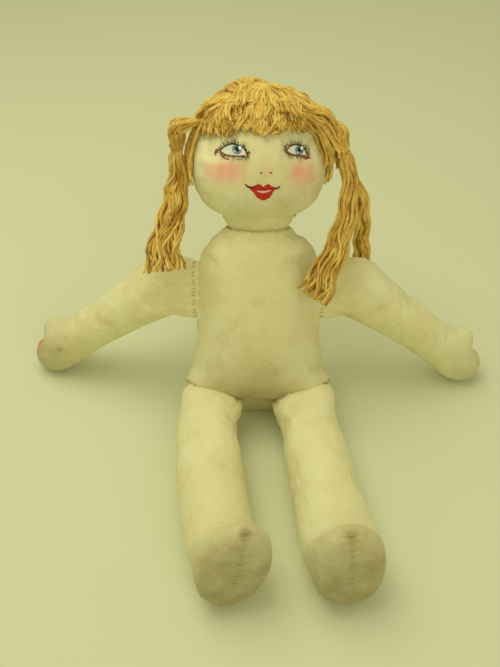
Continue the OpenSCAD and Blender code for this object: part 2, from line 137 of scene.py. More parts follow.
def close(tree, colour_socket, height, strength, distance, roughness, sheen, sheen_tint=(1, 1, 1, 1)):
    """The bump and the shader that end a cloth, yarn or paint tree. The distance is in mm."""
    bump = add(tree, "Bump", {"Height": height, "Strength": strength, "Distance": distance * mm})
    shader = add(
        tree, "BsdfPrincipled",
        {
            "Base Color": colour_socket, "Normal": bump, "Roughness": roughness, "Sheen Weight": sheen,
            "Sheen Roughness": 0.45, "Sheen Tint": sheen_tint, "IOR": 1.5, "Specular IOR Level": 0.25,
        },
    )
    add(tree, "OutputMaterial", {"Surface": shader})


# threads of the muslin are about 0.45 mm apart; they are drawn 1.5 mm apart so that the weave shows
thread_spacing = 1.5
# a wave texture of scale 1 repeats every 0.314 units
wave_scale = 0.314 / thread_spacing
# noise cells to the millimetre: a slub is about 0.8 mm across and 22 mm long
slub_across, slub_along = 1.3, 0.045


def muslin(name="unbleached_muslin"):
    """Plain-woven unbleached cotton, matt, with slubs in the weave, age stains, dirt with painted shade, and
    rubbed blusher.
    """
    material, tree = new_material(name)
    lie = add(tree, "Attribute", attribute_name="weave")
    rest = add(tree, "Attribute", attribute_name="rest")
    # weave: threads both ways, each wandering a little
    wander = add(tree, "TexNoise", {"Vector": rest, "Scale": 90.0, "Detail": 2.0})
    threads_of_weave = {"Vector": lie, "Scale": wave_scale, "Distortion": 1.2, "Detail Scale": 0.6}
    warp, weft = (add(tree, "TexWave", threads_of_weave, bands_direction=way) for way in "XY")
    weave = add(tree, "Math", {0: warp, 1: weft}, operation="ADD")
    # slubs: long thick places in single threads
    slub_parts = []
    for scale in ((slub_across, slub_along, slub_along), (slub_along, slub_across, slub_along)):
        long_way = add(tree, "Mapping", {"Vector": lie, "Scale": scale})
        slub_parts.append(add(tree, "TexNoise", {"Vector": long_way, "Scale": 1.0, "Detail": 2.0}))
    slubs = add(tree, "Math", {0: slub_parts[0], 1: slub_parts[1]}, operation="ADD")
    # age: broad yellowing, then blotches with soft edges
    broad = add(tree, "TexNoise", {"Vector": rest, "Scale": 16.0, "Detail": 4.0, "Roughness": 0.6})
    aged = stops(add(tree, "ValToRGB", {"Fac": broad}), (0.34, colour("E1D99A")), (0.66, colour("EAE7B0")))
    blotch = add(tree, "TexNoise", {"Vector": rest, "Scale": 42.0, "Detail": 5.0, "Roughness": 0.62})
    blotches = stops(
        add(tree, "ValToRGB", {"Fac": blotch}), (0.53, (0, 0, 0, 1)), (0.74, (0.28, 0.28, 0.28, 1)),
    )
    stained = add(tree, "Mix", {"Factor": blotches, "A": aged, "B": colour("BFA765")}, data_type="RGBA")
    threads = add(
        tree, "MapRange",
        {"Value": slubs, "From Min": 0.7, "From Max": 1.3, "To Min": 0.955, "To Max": 1.035},
    )
    woven = add(tree, "VectorMath", {0: stained, 1: threads}, operation="MULTIPLY")
    # dirt and painted shade, blusher and the red mark are worked into the cloth unevenly
    rubbed = add(
        tree, "MapRange", {"Value": blotch, "From Min": 0.3, "From Max": 0.7, "To Min": 0.7, "To Max": 1.2},
    )
    last = woven
    for attribute, mixed_colour in (("soil_and_shade", "80743C"), ("blush", "F8907A"), ("mark", "E8705C")):
        amount = add(tree, "Attribute", output="Fac", attribute_name=attribute)
        uneven = add(tree, "Math", {0: amount, 1: rubbed}, operation="MULTIPLY", use_clamp=True)
        last = add(tree, "Mix", {"Factor": uneven, "A": last, "B": colour(mixed_colour)}, data_type="RGBA")
    height = add(tree, "Math", {0: slubs, 1: 1.4, 2: weave}, operation="MULTIPLY_ADD")
    lumps = add(tree, "Math", {0: wander, 1: 1.2, 2: height}, operation="MULTIPLY_ADD")
    close(tree, last, lumps, 0.24, 0.35, 0.92, 0.2, colour("F2EEC8"))
    return material


def wool(name, dark, mid, light):
    """Two-ply knitting wool, unravelled and crinkled: soft, slightly shiny, darker between the strands."""
    material, tree = new_material(name)
    rest = add(tree, "Attribute", attribute_name="rest")
    strand = add(tree, "Attribute", output="Fac", attribute_name="strand")
    lie = add(tree, "Attribute", attribute_name="lie")
    # dye that took unevenly along each strand
    patch = add(tree, "TexNoise", {"Vector": rest, "Scale": 60.0, "Detail": 3.0})
    shade = add(tree, "Math", {0: strand, 1: 0.38, 2: patch}, operation="MULTIPLY_ADD")
    tone = stops(
        add(tree, "ValToRGB", {"Fac": shade}), (0.36, colour(dark)), (0.94, colour(light)),
        (0.6, colour(mid)),
    )
    # fibres lie along the strand, about 0.3 mm apart as drawn
    fine = add(tree, "Mapping", {"Vector": lie, "Scale": (0.22, 3.2, 1.0)})
    fibres = add(tree, "TexNoise", {"Vector": fine, "Scale": 1.0, "Detail": 3.0})
    streak = add(
        tree, "MapRange",
        {"Value": fibres, "From Min": 0.3, "From Max": 0.7, "To Min": 0.78, "To Max": 1.14},
    )
    streaked = add(tree, "VectorMath", {0: tone, 1: streak}, operation="MULTIPLY")
    close(tree, streaked, fibres, 0.6, 0.3, 0.75, 0.22, colour("FFE08A"))
    return material


def cotton_thread(name, dark, light):
    """Matt sewing cotton with a fine twist."""
    material, tree = new_material(name)
    lie = add(tree, "Attribute", attribute_name="lie")
    twist = add(
        tree, "TexWave", {"Vector": lie, "Scale": 0.5, "Distortion": 0.6}, bands_direction="DIAGONAL",
    )
    tone = stops(add(tree, "ValToRGB", {"Fac": twist}), (0.0, colour(dark)), (1.0, colour(light)))
    close(tree, tone, twist, 0.5, 0.15, 0.85, 0.1)
    return material


def acrylic_paint(name, thick, thin, roughness=0.5):
    """Acrylic paint brushed on cloth: thinner where the threads stand up, and dry to a low gloss."""
    material, tree = new_material(name)
    rest = add(tree, "Attribute", attribute_name="rest")
    brushed = add(tree, "TexNoise", {"Vector": rest, "Scale": 420.0, "Detail": 3.0})
    tone = stops(add(tree, "ValToRGB", {"Fac": brushed}), (0.36, colour(thick)), (0.72, colour(thin)))
    threads = add(tree, "TexNoise", {"Vector": rest, "Scale": 900.0, "Detail": 1.0})
    close(tree, tone, threads, 0.35, 0.2, roughness, 0.0)
    return material


muslin_cloth = muslin()
straw_wool = wool("straw_wool", "B28024", "E4B846", "F6D870")
sewing_cotton = cotton_thread("cotton_thread", "B0A36C", "DCD29C")
golden_cotton = cotton_thread("golden_thread", "A87C30", "D9AE54")
tan_cotton = cotton_thread("tan_thread", "A87E50", "D6B07C")
eye_white = acrylic_paint("cream_paint", "E3E4C4", "F0F0DA")
iris_blue = acrylic_paint("grey_blue_paint", "587C86", "86A8AC", 0.35)
pupil_black = acrylic_paint("black_green_paint", "16221C", "26342C", 0.35)
glint_white = acrylic_paint("white_paint", "F4F8F2", "FFFFFF", 0.3)
lid_brown = acrylic_paint("green_brown_paint", "332C14", "574A22", 0.5)
lash_brown = acrylic_paint("thin_brown_paint", "46391A", "75602F", 0.6)
lid_orange = acrylic_paint("orange_brown_paint", "6A3A16", "96602C", 0.55)
lash_red = acrylic_paint("thin_red_paint", "8A3A24", "B05A3C", 0.6)
corner_pink = acrylic_paint("pink_paint", "E79C84", "EDB39C", 0.5)
lip_red = acrylic_paint("red_paint", "B4220C", "CC3A1C", 0.4)
lip_dark = acrylic_paint("dark_red_paint", "5A1A0C", "74260F", 0.5)
lip_pink = acrylic_paint("rose_paint", "F0A090", "F6BCAA", 0.4)
nostril_mauve = acrylic_paint("mauve_paint", "9A7060", "B08874", 0.6)


# ---------------------------------------------------------------- mesh helpers
def in_scene(name, data):
    """A new object in the scene, from a mesh, light or camera."""
    obj = bpy.data.objects.new(name, data)
    bpy.context.scene.collection.objects.link(obj)
    return obj


def cloth_object(name, points, faces):
    """A mesh object from points in metres and faces."""
    mesh = bpy.data.meshes.new(name)
    mesh.from_pydata([tuple(p) for p in points], [], faces)
    mesh.update()
    return in_scene(name, mesh)


def points_of(obj):
    """Every point of a mesh, as an array."""
    flat = np.empty(len(obj.data.vertices) * 3, np.float32)
    obj.data.vertices.foreach_get("co", flat)
    return flat.reshape(-1, 3).astype(float)


def normals_of(obj):
    """Every point's normal, as an array."""
    flat = np.empty(len(obj.data.vertices) * 3, np.float32)
    obj.data.vertex_normals.foreach_get("vector", flat)
    return flat.reshape(-1, 3).astype(float)


def surface_of(obj):
    """A mesh's surface, on which the nearest place can be found."""
    return BVHTree.FromObject(obj, bpy.context.evaluated_depsgraph_get())


def units(rows):
    """Each row of an array made one long."""
    return rows / (np.linalg.norm(rows, axis=1)[:, None] + 1e-12)


def curve_at(a, b, c, d, t):
    """A Catmull-Rom curve between b and c, at t from 0 to 1."""
    return 0.5 * (2 * b + (c - a) * t + (2 * a - 5 * b + 4 * c - d) * t**2 + (3 * b - a - 3 * c + d) * t**3)


def move_points(obj, points):
    """Puts a mesh's points at new places."""
    obj.data.vertices.foreach_set("co", np.asarray(points, np.float32).ravel())
    obj.data.update()


def modify(obj, kind, **settings):
    """Adds a modifier with its settings."""
    modifier = obj.modifiers.new(kind.lower(), kind)
    for name, value in settings.items():
        setattr(modifier, name, value)
    return modifier


def settle(obj):
    """Applies every modifier of a mesh."""
    depsgraph = bpy.context.evaluated_depsgraph_get()
    mesh = bpy.data.meshes.new_from_object(obj.evaluated_get(depsgraph))
    obj.modifiers.clear()
    obj.data = mesh
    return obj


def note(obj, name, values, kind="FLOAT"):
    """Writes one value, or vector, to each point of a mesh."""
    attribute = obj.data.attributes.new(name, kind, "POINT")
    field = "vector" if kind == "FLOAT_VECTOR" else "value"
    attribute.data.foreach_set(field, np.asarray(values, np.float32).ravel())


def finish_surface(obj, material):
    """Smooth shading and one material."""
    obj.data.materials.clear()
    obj.data.materials.append(material)
    obj.data.shade_smooth()
    return obj


def lie_of_cloth(obj, origin, along, side):
    """Lays the weave on a stuffed member: mm round it and along it, with no jump where it closes."""
    points = points_of(obj)
    origin, along, side = (np.array(v) for v in (origin, along, side))
    third = np.cross(along, side)
    offset = points - origin
    length = offset @ along
    angle = np.arctan2(offset @ third, offset @ side)
    around = np.median(np.hypot(offset @ third, offset @ side))
    corner = np.empty(len(obj.data.loops), np.int32)
    obj.data.loops.foreach_get("vertex_index", corner)
    size = np.empty(len(obj.data.polygons), np.int32)
    obj.data.polygons.foreach_get("loop_total", size)
    face = np.repeat(np.arange(len(size)), size)
    turn = angle[corner]
    low = np.full(len(size), 9.0)
    high = np.full(len(size), -9.0)
    np.minimum.at(low, face, turn)
    np.maximum.at(high, face, turn)
    split = (high - low > math.pi)[face] & (turn < 0)
    turn = np.where(split, turn + 2 * math.pi, turn)
    lie = np.stack([turn * around / mm, length[corner] / mm, np.zeros(len(turn))], 1)
    attribute = obj.data.attributes.new("weave", "FLOAT_VECTOR", "CORNER")
    attribute.data.foreach_set("vector", lie.astype(np.float32).ravel())


# ---------------------------------------------------------------- stuffed members
remesh_size = 3.2 * mm
cloth_over_stuffing = 0.9 * mm
# a wedge takes in this much of a member's end, before and behind its pivot
wedge_from, wedge_to = -14 * mm, 6 * mm
# cloth is held this near to a seam, and is quite free this much further out
seam_hold, seam_release = 2.5 * mm, 5 * mm
stuffing_steps = 20
limp_cotton = {
    "quality": 5, "mass": 0.2, "tension_stiffness": 22, "compression_stiffness": 22, "shear_stiffness": 8,
    "bending_stiffness": 0.25, "use_pressure": True, "uniform_pressure_force": 4.0,
    "vertex_group_mass": "sewn", "shrink_min": -0.03,
}
# lumps of stuffing that show through: how high, and how far across
broad_lumps = (0.8 * mm, 32 * mm)
small_lumps = (0.22 * mm, 9 * mm)


def node_points(node):
    """The corner points of a CAD node."""
    return points_of(frame["nodes"][node])


def stuffed_shape(name, core, pivot, along, web=None, tuck=None):
    """One closed shape from a member's stuffing, and a wedge that joins it to its seam and tucks in there."""
    shape = bmesh.new()
    shape.from_mesh(frame["nodes"][core].data)
    bmesh.ops.remove_doubles(shape, verts=shape.verts, dist=0.02 * mm)
    if web:
        wedge = node_points(web)
        ring = node_points(core)
        reach = (ring - np.array(pivot)) @ np.array(along)
        near = ring[(reach > wedge_from) & (reach < wedge_to)]
        tucked = wedge.mean(0) + (wedge - wedge.mean(0)) * 0.9 + np.array(tuck)
        corners = [shape.verts.new(p) for p in np.vstack([wedge, near, tucked])]
        hull = bmesh.ops.convex_hull(shape, input=corners, use_existing_faces=False)
        loose = [
            v for v in hull["geom_interior"] + hull["geom_unused"] if isinstance(v, bmesh.types.BMVert)
        ]
        bmesh.ops.delete(shape, geom=list(set(loose)), context="VERTS")
    bmesh.ops.recalc_face_normals(shape, faces=shape.faces)
    mesh = bpy.data.meshes.new(name)
    shape.to_mesh(mesh)
    shape.free()
    obj = in_scene(name, mesh)
    modify(obj, "REMESH", mode="VOXEL", voxel_size=remesh_size)
    modify(obj, "SMOOTH", factor=0.5, iterations=7)
    return settle(obj)


def fill_tight(obj, sewn, cap):
    """Cloth simulation: stuffing presses outwards, sewn points stay, and spare cloth makes the puckers."""
    before = points_of(obj)
    group = obj.vertex_groups.new(name="sewn")
    for index in np.nonzero(sewn > 0.01)[0]:
        group.add([int(index)], float(sewn[index]), "REPLACE")
    settings = modify(obj, "CLOTH").settings
    for name, value in limp_cotton.items():
        setattr(settings, name, value)
    settings.effector_weights.gravity = 0
    for step in range(1, stuffing_steps + 1):
        bpy.context.scene.frame_set(step)
    settle(obj)
    bpy.context.scene.frame_set(1)
    obj.vertex_groups.clear()
    move = points_of(obj) - before
    size = np.linalg.norm(move, axis=1)
    move *= np.minimum(1, cap / np.maximum(size, 1e-9))[:, None]
    move_points(obj, before + move)


def lumps(points, scale, seed):
    """Smooth noise from -1 to 1 at each point; scale is the size of one lump."""
    shift = Vector((seed * 7.3, seed * 3.1, seed * 5.7))
    return np.array([noise.noise(Vector(p) / scale + shift) for p in points])


# puckers wander sideways over about this distance
pucker_wander = 14 * mm


def near_line(points, line):
    """Distance from each point to a line of points, and how far along the line it is."""
    line = np.array([list(p) for p in line])
    best = np.full(len(points), 1e9)
    along = np.zeros(len(points))
    walked = 0.0
    for a, b in zip(line[:-1], line[1:]):
        span = b - a
        length = np.linalg.norm(span)
        share = np.clip(((points - a) @ span) / max(length**2, 1e-12), 0, 1)
        away = np.linalg.norm(points - a - share[:, None] * span, axis=1)
        closer = away < best
        best = np.where(closer, away, best)
        along = np.where(closer, walked + share * length, along)
        walked += length
    return best, along


def gathers(points, line, depth, reach, spacing, seed):
    """Puckers that run away from a seam, in mm: how far each point moves."""
    away, along = near_line(points, line)
    wander = lumps(points, pucker_wander, seed) * 2.2
    wave = np.sin(along / (spacing * mm) * full_turn + wander + seed)
    return -depth * mm * np.exp(-away / (reach * mm)) * (0.5 + 0.5 * wave)


def groove(points, line, depth, width):
    """A seam pulled in below the cloth beside it, in mm, or fullness where the depth is negative."""
    away, _ = near_line(points, line)
    return -depth * mm * np.exp(-((away / (width * mm)) ** 2))


def shared_edge(front, back, towards):
    """The outer points that two covers share, in order along a direction: their seam."""
    a, b = node_points(front), node_points(back)
    found = [p for p in a if np.min(np.linalg.norm(b - p, axis=1)) < 0.05 * mm]
    found = np.unique(np.round(found, 6), axis=0)
    return found[np.argsort(found @ np.array(towards))]


def keep_off_floor(points, skin=0.2 * mm):
    """Cloth that would pass through the floor lies flat on it."""
    points[:, 2] = np.maximum(points[:, 2], skin)
    return points


def make_member(
    name, core, covers, line_of_member, sewn_lines, dents, wedge=(), swell=3.0 * mm, shift=None,
):
    """A stuffed member: shape, simulation, one subdivision, then lumps, gathers and seams."""
    origin, along, side = line_of_member
    obj = stuffed_shape(name, core, origin, along, *wedge)
    points = points_of(obj) + normals_of(obj) * cloth_over_stuffing
    move_points(obj, points)
    sewn = np.zeros(len(points))
    for line in sewn_lines:
        away, _ = near_line(points, line)
        sewn = np.maximum(sewn, np.clip(1 - (away - seam_hold) / seam_release, 0, 1))
    fill_tight(obj, sewn, cap=swell)
    modify(obj, "SUBSURF", levels=1, render_levels=1)
    settle(obj)
    points = points_of(obj)
    seed = sum(ord(c) for c in name) % 97
    push = np.zeros(len(points))
    for more, (height, size) in enumerate((broad_lumps, small_lumps)):
        push = push + height * lumps(points, size, seed + more)
    for dent, *sizes in dents:
        push = push + dent(points, *sizes)
    moved = points + normals_of(obj) * push[:, None]
    if shift:
        moved = moved + shift(points)
    move_points(obj, keep_off_floor(moved))
    note(obj, "rest", points_of(obj), "FLOAT_VECTOR")
    lie_of_cloth(obj, origin, along, side)
    finish_surface(obj, muslin_cloth)
    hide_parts(core, *covers)
    return obj


def far_direction(core, pivot):
    """Direction from a pivot to the far end of a member."""
    offsets = node_points(core) - np.array(pivot)
    reach = np.linalg.norm(offsets, axis=1)
    far = offsets[reach > reach.max() * 0.7].mean(0)
    return Vector(far).normalized()


def segment(middle, direction, half, count=9):
    """Evenly spaced points along a straight line."""
    return [middle + direction * (half * (2 * k / (count - 1) - 1)) for k in range(count)]


def soil_and_shade_at(obj, spots, extra=None):
    """Dirt and wear, and painted shade, as darker spots: (place, radius in mm, strength) for each spot."""
    points = points_of(obj)
    amount = np.zeros(len(points))
    for spot, radius, strength in spots:
        away = np.linalg.norm(points - np.array(spot), axis=1)
        amount = np.maximum(amount, strength * np.exp(-((away / (radius * mm)) ** 2)))
    if extra is not None:
        amount = np.maximum(amount, extra(points))
    note(obj, "soil_and_shade", amount)


# a stitch stands this far off the cloth in mm, and its ends go this far in
stitch_lift, stitch_sink = 0.35, 0.5
plain_thread = {"crinkle": 0, "ply": 0.0, "step": None}


def stitches(name, path, body, surface, length=3.2, spacing=4.2, lean=0.0, thick=0.45, material=None):
    """A row of hand stitches in thread along a path. Each is a short bowed tube, closed at both ends."""
    path = [Vector(p) for p in path]
    steps = [0.0]
    for a, b in zip(path[:-1], path[1:]):
        steps.append(steps[-1] + (b - a).length)
    ways = []
    at = spacing * 0.5 * mm
    wobble = random.Random(len(name) * 17)
    while at < steps[-1]:
        k = min(max(i for i, s in enumerate(steps) if s <= at), len(path) - 2)
        share = (at - steps[k]) / max(steps[k + 1] - steps[k], 1e-9)
        run = (path[k + 1] - path[k]).normalized()
        hit, normal, _, _ = surface.find_nearest(path[k].lerp(path[k + 1], share))
        sideways = run.cross(normal).normalized()
        turn = math.radians(lean + wobble.uniform(-8, 8))
        way = run * math.cos(turn) + sideways * math.sin(turn)
        half = length * mm * wobble.uniform(0.42, 0.56)
        row = []
        for q in (-1.0, -0.75, -0.35, 0.0, 0.35, 0.75, 1.0):
            near, facing, _, _ = surface.find_nearest(hit + way * (q * half))
            row.append(near + facing * ((stitch_lift * (1 - q**4) - stitch_sink * q**4) * mm))
        ways.append(row)
        at += spacing * mm * wobble.uniform(0.92, 1.08)
    obj = yarn(name, ways, thick * mm, material or sewing_cotton, seed=3, sides=6, **plain_thread)
    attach(obj, body)
    return obj


# ---------------------------------------------------------------- yarn
def smooth_path(controls, step):
    """A Catmull-Rom curve through control points, with a point about every step."""
    pts = np.array([list(p) for p in controls], float)
    ends = np.vstack([2 * pts[0] - pts[1], pts, 2 * pts[-1] - pts[-2]])
    out = []
    for i in range(len(pts) - 1):
        a, b, c, d = ends[i : i + 4]
        count = max(1, int(np.linalg.norm(c - b) / step))
        out.append(curve_at(a, b, c, d, (np.arange(count) / count)[:, None]))
    return np.vstack([*out, pts[-1:]])


# one full twist of the two plies
ply_pitch = 5.5 * mm
# a strand starts to crinkle over this length
crinkle_start = 6 * mm


def yarn(name, ways, radius, material, seed, crinkle=0.8, wave=7.5, sides=7, ply=0.16, step=1.6):
    """Strands of two-ply yarn as closed tubes along control paths. The ply twists, the strand is crinkled."""
    chance = np.random.default_rng(seed)
    all_points, all_faces, strands, lies = [], [], [], []
    base = 0
    for way in ways:
        line = smooth_path(way, step * mm) if step else np.array([list(p) for p in way])
        count = len(line)
        run = units(np.gradient(line, axis=0))
        walked = np.concatenate([[0], np.cumsum(np.linalg.norm(np.diff(line, axis=0), axis=1))])
        across_way = np.cross(run[0], [0.3, -0.2, 0.93])
        first = []
        for direction in run:
            across_way = across_way - direction * (across_way @ direction)
            across_way /= np.linalg.norm(across_way)
            first.append(across_way)
        first = np.array(first)
        second = np.cross(run, first)
        if crinkle:
            phase = chance.uniform(0, full_turn, 4)
            waves = walked / (wave * mm * chance.uniform(0.8, 1.25))
            size = crinkle * mm * chance.uniform(0.6, 1.1) * np.clip(walked / crinkle_start, 0, 1)
            wide = np.sin(waves * full_turn + phase[0]) + 0.5 * np.sin(waves * 3.3 + phase[1])
            deep = np.sin(waves * 5.3 + phase[2]) + 0.5 * np.sin(waves * 2.7 + phase[3])
            line = line + first * (wide * size)[:, None] + second * (0.8 * deep * size)[:, None]
        thick = radius * chance.uniform(0.88, 1.12)
        angle = np.arange(sides) / sides * full_turn
        lobe = 1 + ply * np.cos(2 * angle[None, :] + (walked / ply_pitch * full_turn)[:, None])
        fat = np.full(count, thick)
        fat[[0, -1]] *= (0.6, 0.55)
        rings = (
            line[:, None, :]
            + first[:, None, :] * (np.cos(angle)[None, :, None] * lobe[:, :, None] * fat[:, None, None])
            + second[:, None, :] * (np.sin(angle)[None, :, None] * lobe[:, :, None] * fat[:, None, None])
        )
        all_points.append(rings.reshape(-1, 3))
        for i in range(count - 1):
            row = base + i * sides
            for j in range(sides):
                k = (j + 1) % sides
                all_faces.append((row + j, row + k, row + sides + k, row + sides + j))
        all_faces.append(tuple(range(base + sides - 1, base - 1, -1)))
        last = base + (count - 1) * sides
        all_faces.append(tuple(range(last, last + sides)))
        strands.append(np.full(count * sides, chance.uniform(0, 1)))
        start = np.full(count * sides, chance.uniform(0, 90))
        lies.append(
            np.stack([np.repeat(walked / mm, sides), np.tile(np.abs(angle - math.pi), count), start], 1)
        )
        base += count * sides
    obj = cloth_object(name, np.vstack(all_points), all_faces)
    note(obj, "rest", points_of(obj), "FLOAT_VECTOR")
    note(obj, "strand", np.concatenate(strands))
    note(obj, "lie", np.vstack(lies), "FLOAT_VECTOR")
    return finish_surface(obj, material)


# ---------------------------------------------------------------- torso
hip_places = {side: place(f"{side}_hip_flex") for side in sides}
hip_lines = {side: Vector(joints[f"{side}_hip_flex"]["axis"]) * -1 for side in sides}
hip_seam_half = 29 * mm
shoulder_seam_half = 31 * mm
hip_seams = {side: segment(hip_places[side], hip_lines[side], hip_seam_half) for side in sides}
shoulder_seams = {
    side: segment(place(f"{side}_shoulder_swing"), torso_up, shoulder_seam_half) for side in sides
}
neck_radius = 30 * mm
neck_circle = [
    neck_seam_mid + across * (neck_radius * math.cos(a)) + torso_front * (neck_radius * math.sin(a))
    for a in np.linspace(0, full_turn, 37)
]

# the belly sags forwards over the tops of the thighs
hip_middle = (hip_places["left"] + hip_places["right"]) / 2
belly_half, belly_rise, belly_drop, belly_forward = 50, 11, 3, 12
belly_line = [
    hip_middle + across * (x * mm) + torso_up * (
        (belly_rise * (x / belly_half) ** 2 - belly_drop) * mm
    ) - Vector((0, belly_forward * mm, 0))
    for x in range(-belly_half, belly_half + 1, 10)
]
# the outer ends of the hip seams are pulled up by this much, from here out to the corner
hip_rise, hip_rise_from, hip_rise_width, hip_rise_reach = 10 * mm, 22 * mm, 50 * mm, 26 * mm


def raise_hips(points):
    """How far the cloth near the hip seams is pulled up, the same for the torso and the thighs."""
    away = np.minimum(*[near_line(points, hip_seams[side])[0] for side in sides])
    outer = np.clip((np.abs(points[:, 0]) - hip_rise_from) / hip_rise_width, 0, 1) ** 1.3
    return np.array(torso_up) * (hip_rise * outer * np.exp(-((away / hip_rise_reach) ** 2)))[:, None]


torso_dents = [(gathers, neck_circle, 0.4, 6, 8, 3)]
for side in sides:
    torso_dents += [
        (gathers, hip_seams[side], 1.8, 9, 7.5, 5), (gathers, shoulder_seams[side], 1.4, 7, 9, 8),
        (groove, shoulder_seams[side], -3.0, 10), (groove, hip_seams[side], -1.5, 8),
    ]
torso_dents += [(groove, belly_line, -9, 15), (groove, neck_circle, -1.8, 7)]
torso = make_member(
    "torso_muslin", "torso_stuffing", ["torso_front_cover", "torso_back_cover"],
    (neck_seam_mid, torso_up, torso_front * -1),
    [neck_circle, *hip_seams.values(), *shoulder_seams.values()], torso_dents, swell=1.6 * mm,
    shift=raise_hips,
)
# the lower torso is darker: painted shade over the belly, which sags forward and faces down, away from the
# overhead light, and darker spots over both hips
soil_and_shade_at(
    torso,
    [
        (hip_places["left"] + torso_front * (30 * mm), 30, 0.3), (hip_places["right"], 30, 0.25),
        (belly_line[5], 65, 0.52),
    ],
)
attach(torso, "torso")

# ---------------------------------------------------------------- head
head = make_member(
    "head_muslin", "head_stuffing", ["head_front_cover", "head_back_cover"],
    (skull_mid, head_up, head_front * -1), [neck_circle],
    [
        (gathers, neck_circle, 0.6, 7, 9, 2),
        (groove, [p + torso_up * (7 * mm) for p in neck_circle], -1.2, 8),
    ],
)
head_points = points_of(head)
head_surface = surface_of(head)
# a ray towards the head starts this far off
far_off = 200 * mm


def on_face(x, up, lift=0.0):
    """A place on the face: x mm to the side and up mm above the neck seam, lift mm off the cloth."""
    start = neck_pivot + across * (x * mm) + head_up * (up * mm - neck_drop) + head_front * far_off
    return head_surface.ray_cast(start, head_front * -1)[0] + head_front * (lift * mm)


def on_skull(turn, rise, lift=0.0):
    """A place on the skull: turn degrees round from the face to +X, rise degrees up, lift mm off it."""
    a, e = math.radians(turn), math.radians(rise)
    way = (across * math.sin(a) + head_front * math.cos(a)) * math.cos(e) + head_up * math.sin(e)
    return head_surface.ray_cast(skull_mid + way * far_off, way * -1)[0] + way * (lift * mm)


blush = np.zeros(len(head_points))
for x, up, wide, tall in ((-30, 59, 17, 11), (39.5, 57, 14, 11)):
    away = head_points - np.array(on_face(x, up))
    level = (away @ np.array(across)) / (wide * mm)
    upright = (away @ np.array(head_up)) / (tall * mm)
    ragged = 0.45 * lumps(head_points, 9 * mm, x)
    blush = np.maximum(blush, 0.6 * np.exp(-((np.maximum(level**2 + upright**2 + ragged, 0)) ** 1.6)))
for x, up, size, strength in ((6, 66, 7, 0.2), (6, 58.8, 5, 0.34), (-1, 28, 2.2, 0.3), (8, 28, 2.2, 0.25)):
    away = np.linalg.norm(head_points - np.array(on_face(x, up)), axis=1)
    blush = np.maximum(blush, strength * np.exp(-((away / (size * mm)) ** 2)))
note(head, "blush", blush)
# thin brown paint has run into the cloth round the eyes
around_eyes = [(-36, 76), (-31, 83), (-22, 86), (-13, 83), (-32, 71), (-23, 70), (-12, 71)]
around_eyes += [(23, 80), (29, 84), (37, 84), (44, 79), (28, 71.5), (36, 69.5), (45, 71)]
# two broad spots below the mouth are painted shade on the chin, which faces down, away from the overhead
# light; the small spots round the eyes are the brown paint
soil_and_shade_at(
    head,
    [
        (on_face(-10, 25), 20, 0.2), (on_face(25, 30), 18, 0.15),
    ] + [(on_face(x, up), 3.2, 0.5) for x, up in around_eyes],
)
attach(head, "head")
